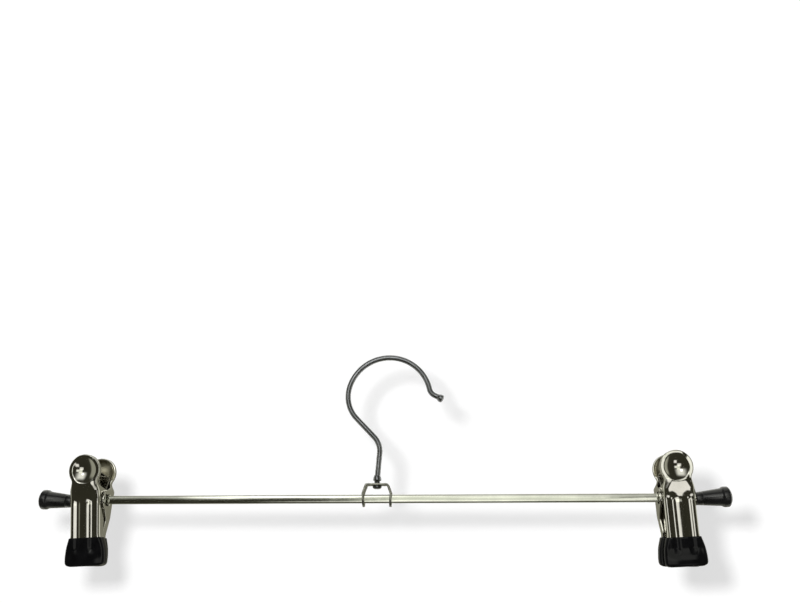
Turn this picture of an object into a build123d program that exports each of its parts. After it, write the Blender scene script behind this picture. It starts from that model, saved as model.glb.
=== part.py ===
from build123d import *
import os
from math import atan2, cos, radians, sin

# Skirt hanger, in millimetres. +Z is up, +X runs along the bar and the front faces -Y.
# The origin is the rail seat: the point inside the hook's arc that lies on the swivel axis.
# Heights named _UP, and those of the hook and its bracket, are from the middle of the bar.

# Crossbar
BAR_Z = -76.6
BAR_LENGTH = 374.0
BAR_HEIGHT = 4.6
BAR_DEPTH = 3.0
BAR_EDGE = 0.8
STAKE_X = 11.2
STAKE_WIDTH = 2.4
STAKE_DEPTH = 0.35

# Hook, one wire bent in the XZ plane, from its shank round to its upset end
WIRE_R = 1.5
SHANK_START = 10.6
SHANK_LEAN = 5.0
SHANK_RUN = 14.4
NECK_R, NECK_TURN = 11.4, 48.75
NECK_RUN = 14.4
LOWER_R, LOWER_TURN = 18.4, 59.9
ARC_R, ARC_TURN = 23.5, 151.75
KICK_R, KICK_TURN = 5.0, 51.3
TIP_RUN = 3.4
TIP_R = 2.15
TIP_LENGTH = 2.2
TIP_FLARE = 1.3
TIP_DOME = 0.7
COLLAR_R = 2.25
COLLAR_NECK_R = 1.85
COLLAR_BOTTOM, COLLAR_TOP = 9.8, 12.6
COLLAR_BEVEL = 0.35
COLLAR_LAND = 0.65
HEAD_R = 2.5
HEAD_BOTTOM = 5.3
HEAD_BEVEL = 0.75

# Hook bracket, a strap bent over the bar
STRAP = 1.0
STRAP_WIDTH = 9.0
PLATE_TOP = 8.2
PLATE_HALF = 6.4
KNEE_HALF, KNEE_UP = 8.15, 2.9
FOOT_HALF, FOOT_UP = 7.8, -4.2
PLATE_BEND_R, KNEE_BEND_R = 0.8, 2.0
SAME_BODY_GAP = 0.05
SLOT_GROWTH = 2 * SAME_BODY_GAP
SWIVEL_GAP = 0.07

# End caps, rubber, pushed over the ends of the bar
CAP_INNER_X = 170.6
CAP_SHOULDER_X = 184.5
CAP_RIM_X = 185.3
CAP_END_X = 190.0
CAP_INNER_R = 3.3
CAP_OUTER_R = 4.65
CAP_RIM_R = 5.35
CAP_DOME = 2.0

# Clips. A jaw's outline is seen from the front
CLIP_X = 160.6
SHEET = 0.9
LOBE_R = 8.7
LOBE_UP = 15.4
WAIST_HALF, WAIST_TOP_UP, WAIST_UP = 6.9, 11.4, 8.7
SHOULDER_UP = 5.0
FRONT_HALF = 8.2
REAR_HALF = 9.4
EAR_FOOT_UP = -9.5
LEG_HALF = 8.2
FLARE_UP = -19.0
TIP_HALF = 10.2
TIP_BEVEL_WIDE, TIP_BEVEL_HIGH = 2.0, 3.0
NECK_CORNER_R = 2.0
FLARE_R = 12.0

# Side view of a jaw, (out from the middle plane, up): its face, then its free edge round the ear
PAD_TOP = (12.0, 24.4)
PAD_FOOT = (11.0, 8.5)
LEG_TOP = (8.5, 0.0)
LEG_END = (4.1, -34.9)
BEND_R = 8.0
PRESS_R = 0.8
RIM_TOP = (9.6, 24.4)
EDGE_ABOVE_EAR = [(8.6, 11.5), (7.2, 7.6), (2.0, 6.0), (-2.5, 5.0)]
EAR_TIP = (-5.6, 0.0)
EDGE_BELOW_EAR = [(-2.5, -5.0), (1.0, -11.0), (0.3, -18.0), (1.6, -20.3), (1.6, -34.9)]
SLOT_HALF_WIDTH, SLOT_HALF_HEIGHT = 2.8, 2.7

# Pressed forms: the pad's dish, the raised panel over the neck, and two grooves down the leg
DISH_R = 6.85
DISH_DEPTH = 2.0
GROOVE_X = 4.15
SWELL = 0.5
SWELL_TOP_UP = 12.5
SWELL_HALF_OUTLINE = [(4.6, 12.0), (4.6, 8.0), (6.9, 4.4), (6.3, 1.4), (GROOVE_X, 2.0), (0.0, -0.6)]
SWELL_CORNER_R = 0.9
GROOVE_R = 1.4
GROOVE_DEPTH = 0.55
GROOVE_TOP, GROOVE_END = -1.6, -29.0

# Grips, rubber boots on the tips of the jaws
GRIP_TOP = -20.3
GRIP_FLARE_UP = -29.8
GRIP_BOTTOM = -35.3
GRIP_TOP_HALF = 9.3
GRIP_HALF = 11.1
GRIP_CORNER_R = 2.6
GRIP_FLARE_R = 12.0
GRIP_WALL = 0.7
GRIP_FACE = 0.1
GRIP_BEVEL = 0.8
GRIP_EDGE_R = 1.2

# Spring, a flat strip round the bar. Its ends and corners are (out, up), the front one first
SPRING_T = 0.5
SPRING_HALF = 6.5
LOOP_R = 2.95
LOOP_UP = 5.0
SPRING_CORNER = (8.2, 12.6)
FRONT_END = (2.0, 13.0)
REAR_END = (-5.0, 14.9)
CORNER_BEND_R, LOOP_TOP_R, LOOP_FOOT_R = 0.9, 1.6, 2.85

# Past every piece that a cut or a crossing goes through, and what counts as the same place
REACH = 20.0
NEAR = 0.05


def finish(block, name):
    """Label one finished piece and write it."""
    block.part.label = name
    export_step(block.part, f"parts/{name}.step")


def dome_middle(radius, rise):
    """Halfway point of a shallow dome's section: how far from its axis, and below its top."""
    ball = (radius**2 + rise**2) / (2 * rise)
    half = atan2(radius, ball - rise) / 2
    return ball * sin(half), ball * (1 - cos(half))


def mirrored(points):
    """A half outline's points, run back down its other side."""
    return [(-x, y) for x, y in reversed(points) if x]


def make_crossbar():
    """Flattened bar with a pair of stakes beside each leg of the bracket."""
    with BuildPart() as crossbar:
        with BuildSketch(Plane.YZ.offset(-BAR_LENGTH / 2)):
            with Locations((0, BAR_Z)):
                RectangleRounded(BAR_DEPTH, BAR_HEIGHT, BAR_EDGE)
        extrude(amount=BAR_LENGTH)
        for face in (-1, 1):
            with BuildSketch(Plane.XY.offset(BAR_Z + BAR_HEIGHT / 2)):
                for x in (-STAKE_X, STAKE_X):
                    with BuildLine():
                        Polyline(
                            (x - STAKE_WIDTH / 2, face * BAR_DEPTH / 2),
                            (x, face * (BAR_DEPTH / 2 - STAKE_DEPTH)),
                            (x + STAKE_WIDTH / 2, face * BAR_DEPTH / 2),
                            close=True,
                        )
                    make_face()
            extrude(amount=-BAR_HEIGHT, mode=Mode.SUBTRACT)
    finish(crossbar, "crossbar")


def make_hook():
    """Bent wire with its collar, peened head and upset end."""
    with BuildPart() as hook:
        with BuildLine(Plane.XZ) as route:
            lean = radians(SHANK_LEAN)
            foot_z = BAR_Z + SHANK_START
            shank = Line((0, foot_z), (SHANK_RUN * sin(lean), foot_z + SHANK_RUN * cos(lean)))
            neck = JernArc(shank @ 1, shank % 1, NECK_R, NECK_TURN)
            run = PolarLine(neck @ 1, NECK_RUN, direction=neck % 1)
            lower = JernArc(run @ 1, run % 1, LOWER_R, -LOWER_TURN)
            arc = JernArc(lower @ 1, lower % 1, ARC_R, -ARC_TURN)
            kick = JernArc(arc @ 1, arc % 1, KICK_R, KICK_TURN)
            PolarLine(kick @ 1, TIP_RUN, direction=kick % 1)
        wire = route.wire()
        with BuildSketch(Plane(origin=wire @ 0, z_dir=wire % 0)):
            Circle(WIRE_R)
        sweep()
        tip_plane = Plane(origin=wire @ 1, x_dir=wire % 1, z_dir=(0, 1, 0))
        with BuildSketch(tip_plane):
            with BuildLine():
                middle_r, below = dome_middle(TIP_R, TIP_DOME)
                dome_edge = (TIP_LENGTH - TIP_DOME, TIP_R)
                Polyline((TIP_LENGTH, 0), (-TIP_FLARE, 0), (-TIP_FLARE, WIRE_R), (0, TIP_R), dome_edge)
                ThreePointArc(dome_edge, (TIP_LENGTH - below, middle_r), (TIP_LENGTH, 0))
            make_face()
        revolve(axis=Axis(tip_plane.origin, tip_plane.x_dir))
        head_top = PLATE_TOP - STRAP - SAME_BODY_GAP
        with BuildSketch(Plane.XZ):
            with BuildLine():
                Polyline(
                    (0, BAR_Z + HEAD_BOTTOM),
                    (HEAD_R - HEAD_BEVEL, BAR_Z + HEAD_BOTTOM),
                    (HEAD_R, BAR_Z + HEAD_BOTTOM + HEAD_BEVEL),
                    (HEAD_R, BAR_Z + head_top),
                    (WIRE_R, BAR_Z + head_top),
                    (WIRE_R, BAR_Z + COLLAR_BOTTOM),
                    (COLLAR_R - COLLAR_BEVEL, BAR_Z + COLLAR_BOTTOM),
                    (COLLAR_R, BAR_Z + COLLAR_BOTTOM + COLLAR_BEVEL),
                    (COLLAR_R, BAR_Z + COLLAR_BOTTOM + COLLAR_BEVEL + COLLAR_LAND),
                    (COLLAR_NECK_R, BAR_Z + COLLAR_TOP),
                    (0, BAR_Z + COLLAR_TOP),
                    close=True,
                )
            make_face()
        revolve(axis=Axis.Z)
    finish(hook, "hook")


def make_bracket():
    """Strap over the bar: a bored plate and two legs with round feet, cut through for the bar."""
    with BuildPart() as hook_bracket:
        with BuildSketch(Plane.XZ):
            with BuildLine() as strip:
                half_leg = [
                    (FOOT_HALF - STRAP / 2, BAR_Z + FOOT_UP),
                    (KNEE_HALF - STRAP / 2, BAR_Z + KNEE_UP),
                    (PLATE_HALF - STRAP / 2, BAR_Z + PLATE_TOP - STRAP / 2),
                ]
                bends = [KNEE_BEND_R, PLATE_BEND_R, PLATE_BEND_R, KNEE_BEND_R]
                FilletPolyline(*half_leg, *mirrored(half_leg), radius=bends)
            trace(strip.line, line_width=STRAP)
        extrude(amount=STRAP_WIDTH / 2, both=True)
        with BuildSketch(Plane.YZ):
            with Locations((0, BAR_Z)):
                Circle(STRAP_WIDTH / 2)
            with Locations((0, BAR_Z + PLATE_TOP / 2)):
                Rectangle(STRAP_WIDTH, PLATE_TOP)
        extrude(amount=KNEE_HALF, both=True, mode=Mode.INTERSECT)
        with BuildSketch(Plane.YZ.offset(-KNEE_HALF)):
            with Locations((0, BAR_Z)):
                RectangleRounded(BAR_DEPTH + SLOT_GROWTH, BAR_HEIGHT + SLOT_GROWTH, BAR_EDGE)
        extrude(amount=2 * KNEE_HALF, mode=Mode.SUBTRACT)
        with BuildSketch(Plane.XY.offset(BAR_Z + PLATE_TOP)):
            Circle(WIRE_R + SWIVEL_GAP)
        extrude(amount=-2 * STRAP, mode=Mode.SUBTRACT)
    finish(hook_bracket, "hook_bracket")


def make_end_cap(side, name):
    """Tapered rubber cap with a mushroom rim, a domed end and a blind bore for the bar."""
    with BuildPart() as end_cap:
        with BuildSketch(Plane(origin=(0, 0, BAR_Z), x_dir=(side, 0, 0), z_dir=(0, -side, 0))):
            with BuildLine():
                middle_r, below = dome_middle(CAP_RIM_R, CAP_DOME)
                dome_edge = (CAP_END_X - CAP_DOME, CAP_RIM_R)
                Polyline(
                    dome_edge,
                    (CAP_RIM_X, CAP_RIM_R),
                    (CAP_SHOULDER_X, CAP_OUTER_R),
                    (CAP_INNER_X, CAP_INNER_R),
                    (CAP_INNER_X, 0),
                    (CAP_END_X, 0),
                )
                ThreePointArc((CAP_END_X, 0), (CAP_END_X - below, middle_r), dome_edge)
            make_face()
        revolve(axis=Axis((0, 0, BAR_Z), (1, 0, 0)))
        with BuildSketch(Plane.YZ.offset(side * CAP_INNER_X)):
            with Locations((0, BAR_Z)):
                RectangleRounded(BAR_DEPTH + SLOT_GROWTH, BAR_HEIGHT + SLOT_GROWTH, BAR_EDGE)
        extrude(amount=side * (BAR_LENGTH / 2 - CAP_INNER_X + SAME_BODY_GAP), mode=Mode.SUBTRACT)
    finish(end_cap, name)


def side_plane(clip_x, out):
    """Plane across the bar: local x points out of the clip on this jaw's side, local y up."""
    return Plane(origin=(clip_x, 0, BAR_Z), x_dir=(0, out, 0), z_dir=(out, 0, 0))


def face_plane(clip_x, out):
    """Upright plane along the bar, facing out on this jaw's side, local y up."""
    return Plane(origin=(clip_x, 0, BAR_Z), x_dir=(-out, 0, 0), z_dir=(0, out, 0))


def tilted_plane(clip_x, out, low, high, point):
    """Plane on the straight stretch of the jaw's face from low to high, centred on a point of it."""
    lean = atan2(high[0] - low[0], high[1] - low[1])
    origin = side_plane(clip_x, out).from_local_coords(Vector(point[0], point[1], 0))
    return Plane(origin=origin, x_dir=(-out, 0, 0), z_dir=(0, out * cos(lean), -sin(lean)))


def on_face(low, high, up):
    """Point of the jaw's face at a height, on the straight stretch from low to high."""
    share = (up - low[1]) / (high[1] - low[1])
    return low[0] + share * (high[0] - low[0]), up


def face_line(depth):
    """Side view of a jaw's face from its foot up, moved in by a depth."""
    foot = (LEG_END[0] - depth, LEG_END[1] - depth)
    top = (PAD_TOP[0] - depth, PAD_TOP[1] + depth)
    return [foot, (LEG_TOP[0] - depth, LEG_TOP[1]), (PAD_FOOT[0] - depth, PAD_FOOT[1]), top]


def jaw_outline(half, inset):
    """Keyhole outline of a jaw, moved in by the inset, which leaves the foot open."""
    foot_up = LEG_END[1] - TIP_BEVEL_HIGH * inset
    right = [
        (WAIST_HALF - inset, WAIST_TOP_UP),
        (WAIST_HALF - inset, WAIST_UP),
        (half - inset, SHOULDER_UP),
        (LEG_HALF - inset, FLARE_UP),
        (TIP_HALF - inset, LEG_END[1] + TIP_BEVEL_HIGH - inset),
        (TIP_HALF - TIP_BEVEL_WIDE - inset, foot_up),
    ]
    if half > LEG_HALF:
        right.insert(3, (half - inset, EAR_FOOT_UP))
    with BuildSketch() as outline:
        with Locations((0, LOBE_UP)):
            Circle(LOBE_R - inset)
        with BuildLine():
            Polyline(*right, *mirrored(right), close=True)
        make_face()
        fillet(outline.vertices().filter_by(lambda v: v.Y > 0), NECK_CORNER_R)
        fillet(outline.vertices().filter_by(lambda v: FLARE_UP - NEAR < v.Y < 0), FLARE_R)
    return outline.sketch


def on_front_edge(side, edge):
    """True for an edge that runs round the front of the form, not across one of its bends."""
    if edge.geom_type == GeomType.LINE and abs((edge % 0.5).X) > 1 - NEAR / 10:
        return False
    line = face_line(0)
    for share in (0, 0.5, 1):
        point = side.to_local_coords(edge @ share)
        stretch = 3 if point.Y > PAD_FOOT[1] + NEAR else 2 if point.Y > LEG_TOP[1] + NEAR else 1
        if abs(on_face(line[stretch - 1], line[stretch], point.Y)[0] - point.X) > NEAR:
            return False
    return True


def pressing(side, face, half):
    """Solid jaw form, before it is hollowed: side view crossed with the front outline."""
    outline = jaw_outline(half, 0)
    with BuildPart() as form:
        with BuildSketch(side) as section:
            with BuildLine():
                Polyline(*face_line(0), RIM_TOP, *EDGE_ABOVE_EAR)
                ThreePointArc(EDGE_ABOVE_EAR[-1], EAR_TIP, EDGE_BELOW_EAR[0])
                Polyline(*EDGE_BELOW_EAR, LEG_END)
            make_face()
            bends = section.vertices().filter_by(
                lambda v: v.X > LEG_TOP[0] - NEAR and LEG_TOP[1] - NEAR < v.Y < PAD_FOOT[1] + NEAR
            )
            fillet(bends, BEND_R)
        extrude(amount=REACH, both=True)
        with BuildSketch(face):
            add(outline)
        extrude(amount=REACH, both=True, mode=Mode.INTERSECT)
        fillet(form.edges().filter_by(lambda edge: on_front_edge(side, edge)), PRESS_R)
    return form.part


def inside(side, face, half):
    """The space behind a jaw's sheet, open towards the other jaw."""
    outline = jaw_outline(half, SHEET)
    line = face_line(SHEET)
    with BuildPart() as space:
        with BuildSketch(side):
            with BuildLine():
                Polyline(*line, (2 * EAR_TIP[0], line[-1][1]), (2 * EAR_TIP[0], line[0][1]), close=True)
            make_face()
        extrude(amount=REACH, both=True)
        with BuildSketch(face):
            add(outline)
        extrude(amount=REACH, both=True, mode=Mode.INTERSECT)
    return space.part


def neck_swell(side, face):
    """Raised panel that runs from the dish through the neck to the heads of the grooves."""
    with BuildPart() as swell:
        with BuildSketch(side):
            with BuildLine():
                Polyline(
                    (PAD_FOOT[0] + SWELL, SWELL_TOP_UP),
                    (PAD_FOOT[0] + SWELL, PAD_FOOT[1]),
                    (LEG_TOP[0] + SWELL, LEG_TOP[1]),
                    (LEG_TOP[0] - SHEET, LEG_TOP[1] - SHEET),
                    (PAD_FOOT[0] - SHEET, PAD_FOOT[1]),
                    (PAD_FOOT[0] - SHEET, SWELL_TOP_UP),
                    close=True,
                )
            make_face()
        extrude(amount=REACH, both=True)
        with BuildSketch(face) as panel:
            with BuildLine():
                Polyline(*SWELL_HALF_OUTLINE, *mirrored(SWELL_HALF_OUTLINE), close=True)
            make_face()
            fillet(panel.vertices().filter_by(lambda v: v.Y < PAD_FOOT[1]), SWELL_CORNER_R)
        extrude(amount=REACH, both=True, mode=Mode.INTERSECT)
    return swell.part


def shallow_cap(plane, radius, depth, lift):
    """Solid under a plane, dished down to a depth, with a straight rim raised above the plane."""
    middle_r, below = dome_middle(radius, depth)
    with BuildPart() as cap:
        with BuildSketch(Plane(origin=plane.origin, x_dir=plane.x_dir, z_dir=plane.y_dir)):
            with BuildLine():
                Polyline((0, depth), (0, -lift), (radius, -lift), (radius, 0))
                ThreePointArc((radius, 0), (middle_r, depth - below), (0, depth))
            make_face()
        revolve(axis=Axis(plane.origin, plane.z_dir))
    return cap.part


def make_jaw(clip_x, out, half, name):
    """Jaw pressed from sheet: dished thumb pad, neck, grooved leg, side walls and slotted ears."""
    side = side_plane(clip_x, out)
    face = face_plane(clip_x, out)
    pad = tilted_plane(clip_x, out, PAD_FOOT, PAD_TOP, on_face(PAD_FOOT, PAD_TOP, LOBE_UP))
    leg = tilted_plane(clip_x, out, LEG_END, LEG_TOP, LEG_TOP)
    form = pressing(side, face, half)
    swell = neck_swell(side, face)
    space = inside(side, face, half)
    ball = (DISH_R**2 + DISH_DEPTH**2) / (2 * DISH_DEPTH) + SHEET
    bulge_r = (ball**2 - (ball - DISH_DEPTH) ** 2) ** 0.5
    bulge = shallow_cap(pad.offset(-SHEET), bulge_r, DISH_DEPTH, SHEET / 2)
    dish = shallow_cap(pad, DISH_R, DISH_DEPTH, 2 * SWELL)
    with BuildPart() as jaw:
        add(form)
        add(swell)
        add(space, mode=Mode.SUBTRACT)
        add(bulge)
        add(dish, mode=Mode.SUBTRACT)
        for x in (-GROOVE_X, GROOVE_X):
            ends = [
                leg.from_local_coords(Vector(x, y, GROOVE_R - GROOVE_DEPTH))
                for y in (GROOVE_TOP, GROOVE_END)
            ]
            with BuildLine() as groove_line:
                Line(*ends)
            with BuildSketch(Plane(origin=ends[0], z_dir=ends[1] - ends[0])):
                Circle(GROOVE_R)
            sweep(path=groove_line.line, mode=Mode.SUBTRACT)
            with Locations(*ends):
                Sphere(GROOVE_R, mode=Mode.SUBTRACT)
        with BuildSketch(side):
            Rectangle(2 * SLOT_HALF_WIDTH, 2 * SLOT_HALF_HEIGHT)
        extrude(amount=REACH, both=True, mode=Mode.SUBTRACT)
    finish(jaw, name)
    return jaw.part


def make_grip(clip_x, out, jaw, name):
    """Rubber boot moulded round the tip of a jaw, flat where it meets the other grip."""
    foot_out = on_face(LEG_END, LEG_TOP, GRIP_BOTTOM)[0] + GRIP_WALL
    top_out = on_face(LEG_END, LEG_TOP, GRIP_TOP)[0] + GRIP_WALL
    half_outline = [(GRIP_TOP_HALF, GRIP_TOP), (GRIP_HALF, GRIP_FLARE_UP), (GRIP_HALF, GRIP_BOTTOM)]
    with BuildPart() as grip:
        with BuildSketch(side_plane(clip_x, out)):
            with BuildLine():
                Polyline(
                    (GRIP_FACE, GRIP_TOP - GRIP_BEVEL),
                    (GRIP_FACE, GRIP_BOTTOM),
                    (foot_out, GRIP_BOTTOM),
                    (top_out, GRIP_TOP),
                    (GRIP_FACE + GRIP_BEVEL, GRIP_TOP),
                    close=True,
                )
            make_face()
        extrude(amount=REACH, both=True)
        with BuildSketch(face_plane(clip_x, out)) as front:
            with BuildLine():
                Polyline(*half_outline, *mirrored(half_outline), close=True)
            make_face()
            corners = front.vertices().group_by(Axis.Y)
            fillet(corners[0], GRIP_CORNER_R)
            fillet(front.vertices().filter_by(lambda v: abs(v.Y - GRIP_FLARE_UP) < NEAR), GRIP_FLARE_R)
        extrude(amount=REACH, both=True, mode=Mode.INTERSECT)
        outer_face = grip.faces().sort_by(Axis((0, 0, 0), (0, out, 0)))[-1]
        rim = outer_face.edges().filter_by(lambda edge: (edge @ 0.5).Z < BAR_Z + GRIP_TOP - NEAR)
        fillet(rim, GRIP_EDGE_R)
        add(jaw, mode=Mode.SUBTRACT)
    finish(grip, name)


def make_spring(clip_x, name):
    """Flat strip: a loop under the bar, two arms out to the pads and two ends folded in."""
    out, up = SPRING_CORNER
    with BuildPart() as spring:
        with BuildSketch(side_plane(clip_x, 1)):
            with BuildLine() as strip:
                FilletPolyline(
                    FRONT_END,
                    (-out, up),
                    (-LOOP_R, LOOP_UP),
                    (-LOOP_R, -LOOP_R),
                    (LOOP_R, -LOOP_R),
                    (LOOP_R, LOOP_UP),
                    (out, up),
                    REAR_END,
                    radius=[CORNER_BEND_R, LOOP_TOP_R, LOOP_FOOT_R, LOOP_FOOT_R, LOOP_TOP_R, CORNER_BEND_R],
                )
            trace(strip.line, line_width=SPRING_T)
        extrude(amount=SPRING_HALF, both=True)
    finish(spring, name)


def make_clip(side, prefix):
    """The five pieces of one clip."""
    clip_x = side * CLIP_X
    front_jaw = make_jaw(clip_x, -1, FRONT_HALF, prefix + "front_jaw")
    rear_jaw = make_jaw(clip_x, 1, REAR_HALF, prefix + "rear_jaw")
    make_grip(clip_x, -1, front_jaw, prefix + "front_grip")
    make_grip(clip_x, 1, rear_jaw, prefix + "rear_grip")
    make_spring(clip_x, prefix + "spring")


if __name__ == "__main__":
    os.makedirs("parts", exist_ok=True)
    make_crossbar()
    make_hook()
    make_bracket()
    make_end_cap(-1, "end_cap_left")
    make_end_cap(1, "end_cap_right")
    make_clip(-1, "left_")
    make_clip(1, "right_")
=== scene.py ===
from math import atan2, cos, degrees, hypot, pi, radians, sin, sqrt

import bpy
import numpy as np
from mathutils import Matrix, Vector


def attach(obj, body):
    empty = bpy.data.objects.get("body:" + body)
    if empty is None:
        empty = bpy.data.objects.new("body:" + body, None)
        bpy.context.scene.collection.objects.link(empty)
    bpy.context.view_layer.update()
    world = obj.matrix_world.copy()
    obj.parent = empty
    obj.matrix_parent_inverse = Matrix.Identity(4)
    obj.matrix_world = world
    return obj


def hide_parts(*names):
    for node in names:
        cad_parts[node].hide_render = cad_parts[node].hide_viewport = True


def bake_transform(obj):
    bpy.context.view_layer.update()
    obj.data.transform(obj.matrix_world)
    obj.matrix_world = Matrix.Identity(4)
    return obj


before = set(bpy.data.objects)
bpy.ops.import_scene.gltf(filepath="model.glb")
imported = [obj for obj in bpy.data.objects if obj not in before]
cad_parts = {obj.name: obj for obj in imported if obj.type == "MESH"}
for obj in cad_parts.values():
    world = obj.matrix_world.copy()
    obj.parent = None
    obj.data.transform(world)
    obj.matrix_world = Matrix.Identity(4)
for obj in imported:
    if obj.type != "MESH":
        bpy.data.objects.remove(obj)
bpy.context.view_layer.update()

# Sizes are in millimetres, in the frame of the CAD model, and meshes are scaled to metres by MM.
# Heights named _UP are from the middle of the bar.
MM = 0.001
BAR_Z = -76.6

# Crossbar
BAR_HALF_LENGTH = 187.0
BAR_HEIGHT, BAR_DEPTH, BAR_EDGE = 4.6, 3.0, 0.8
STAKE_X, STAKE_WIDTH, STAKE_DEPTH = 11.2, 2.4, 0.025
BAR_PLACES, STAKE_PLACES, BAR_EDGE_STEPS = 150, 9, 4
# Rolling leaves the bar a little under its size, in depth by a slack and in height by a share. It wavers and
# twists by sums of waves: (size, millimetres to a radian, start)
BAR_SLACK, BAR_HEIGHT_SHARE = 0.03, 0.985
BAR_WAVER = [(0.012, 7.3, 0.0), (0.01, 3.1, 1.3)]
BAR_TWIST = [(0.018, 29.0, 0.9), (0.012, 11.3, 0.0)]

# Hook
WIRE_R, WIRE_STEP, WIRE_SIDES = 1.5, 0.55, 28
SHANK_START, SHANK_LEAN = 10.6, 5.0
HOOK_MOVES = [
    ("run", 14.4),
    ("left", 11.4, 48.75),
    ("run", 14.4),
    ("right", 18.4, 59.9),
    ("right", 23.5, 151.75),
    ("left", 5.0, 51.3),
    ("run", 3.4),
]
TIP_R, TIP_FLARE, TIP_LENGTH, TIP_DOME = 2.15, 1.3, 2.2, 0.7
TIP_EDGE_BACK, TIP_EDGE_IN = 0.3, 0.12
# Shares of its radius by which the rings of the end's dome are drawn in
TIP_RINGS = np.linspace(0.0, 0.96, 8)
COLLAR_R, COLLAR_NECK_R, COLLAR_BOTTOM, COLLAR_TOP = 2.25, 1.85, 9.8, 12.6
HEAD_R, HEAD_BOTTOM, HEAD_SIDES = 2.5, 5.3, 36
# Rounding of the head and of the collar: (up from its bottom, inside its radius)
HEAD_ROUND = [(0.0, 1.6), (0.1, 0.9), (0.45, 0.3), (0.9, 0.06), (1.3, 0.0)]
COLLAR_ROUND = [(0.0, 0.35), (0.12, 0.1), (0.35, 0.0), (0.9, 0.0), (1.2, 0.06), (2.2, 0.36)]
HEAD_GAP, HEAD_EDGE, COLLAR_EDGE, COLLAR_LIP = 0.05, 0.1, 0.1, 0.05

# Hook bracket
STRAP, STRAP_WIDTH, STRAP_EDGE = 1.0, 9.0, 0.18
PLATE_TOP, PLATE_HALF, PLATE_BEND_R = 8.2, 6.4, 0.8
KNEE_HALF, KNEE_UP, KNEE_BEND_R = 8.15, 2.9, 2.0
FOOT_HALF, FOOT_UP = 7.8, -4.2
# Steps along a bent strip, here and on the springs, and round each of its edges
STRIP_STEP, STRIP_EDGE_STEPS = 0.3, 2

# End caps
CAP_INNER_X, CAP_SHOULDER_X, CAP_RIM_X, CAP_END_X = 170.6, 184.5, 185.3, 190.0
CAP_INNER_R, CAP_OUTER_R, CAP_RIM_R, CAP_DOME = 3.3, 4.65, 5.35, 2.0
CAP_TILT, CAP_SIDES = 3.5, 48
# The mouth, the taper with its moulding step, the shoulder, and the start and finish of the rim: (on along
# the cap, inside the radius there), but outside it at the shoulder, and back from the dome at the finish
CAP_MOUTH = [(0.0, 0.7), (0.06, 0.25), (0.35, 0.03)]
CAP_STEP = [(0.8, 0.0), (3.35, 0.0), (3.6, 0.12), (3.9, 0.12), (4.15, 0.0), (13.1, 0.0)]
CAP_SHOULDER = [(-0.1, 0.08), (0.3, 0.35)]
RIM_START, RIM_FINISH = [(-0.1, 0.1), (0.4, 0.0)], [(0.6, 0.0), (0.1, 0.06)]
# Shares of its radius by which the rings of the cap's dome are drawn in
CAP_RINGS = np.linspace(0.06, 0.97, 12)

# Clips
CLIP_X = 160.6
SHEET = 0.9
LOBE_R, LOBE_UP = 8.7, 15.4
WAIST_HALF, WAIST_UP, SHOULDER_UP = 6.9, 8.7, 5.0
FRONT_HALF, REAR_HALF, EAR_FOOT_UP = 8.2, 9.4, -9.5
LEG_HALF, FLARE_UP = 8.2, -19.0
TIP_HALF, TIP_CORNER_UP, TIP_FOOT_HALF = 10.2, -31.9, 8.2
PAD_TOP, PAD_FOOT, LEG_TOP, LEG_END = (12.0, 24.4), (11.0, 8.5), (8.5, 0.0), (4.1, -34.9)
EDGE_ABOVE_EAR = [(9.6, 24.4), (8.6, 11.5), (7.2, 7.6), (2.0, 6.0), (-2.5, 5.0)]
EDGE_BELOW_EAR = [(-2.5, -5.0), (1.0, -11.0), (0.3, -18.0), (1.6, -20.3), (1.6, -34.9)]
EAR_R, EAR_CENTRE, EAR_UP = 5.58, -0.02, 5.0
SLOT_HALF_WIDTH, SLOT_HALF_HEIGHT, SLOT_FADE_UP = 2.8, 3.2, 6.5
# How far the corners of the face's line and of the sides are softened
FACE_SOFT, SIDE_SOFT = 1.0, 0.9
ROLL_R, LOBE_ROLL_R, ROLL_CHANGE = 1.15, 0.5, (WAIST_UP + 1.0, SHOULDER_UP)
FRONT_LEAN = 2.8
DISH_R, DISH_DEPTH = 6.65, 2.0
DISH_BLEND = 0.08
# The raised panel on the neck: its height, (half width, up) along its sides, its wavy foot, and how soft its
# edges are
SWELL = 0.3
PANEL_SIDE = [(6.3, 1.0), (6.9, 4.4), (4.8, 8.0)]
PANEL_FOOT_UP, PANEL_WAVE, PANEL_FALL = 0.5, 1.1, 0.2
PANEL_SIDE_SOFT, PANEL_FOOT_SOFT, PANEL_DISH_SOFT = 1.5, 2.2, (-0.2, 0.7)
GROOVE_X, GROOVE_HALF, GROOVE_DEPTH, GROOVE_ROUND, GROOVE_BLEND = 4.15, 2.1, 0.85, 0.9, 0.15
GROOVE_TOP, GROOVE_TOP_STRETCH, GROOVE_END = -2.4, 0.6, -29.0
CROWN, RIB, LEG_BLEND_UP = 0.3, 0.12, (1.5, -3.0)
SHEET_SLACK, SHEET_BEVEL, BEVEL_ANGLE, WELD_REACH = 0.05, 0.16, 50, 0.01
# Spacing of a jaw's rows, fine above and coarse below, and angles round its rolled edges
ROW, FINE_END, COARSE_TOP, COARSE_ROW = 0.42, -6.2, -6.8, 0.85
LOBE_ROWS, SLOT_ROWS, FACE_COLUMNS = 18, 13, 30
ROLL_ANGLES = [15, 30, 45, 60, 75, 90]
# How far up the lobe its middle line goes, as a share of its radius, and how far down a side wall its two
# inner columns run where there is no slot
LOBE_MIDDLE, WALL_INNER, WALL_OUTER = 0.55, 0.4, 0.75
# Step either way for a slope, and the most that a quad of a side wall spreads across
NUDGE, WALL_SPREAD = 0.05, 0.5

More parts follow.
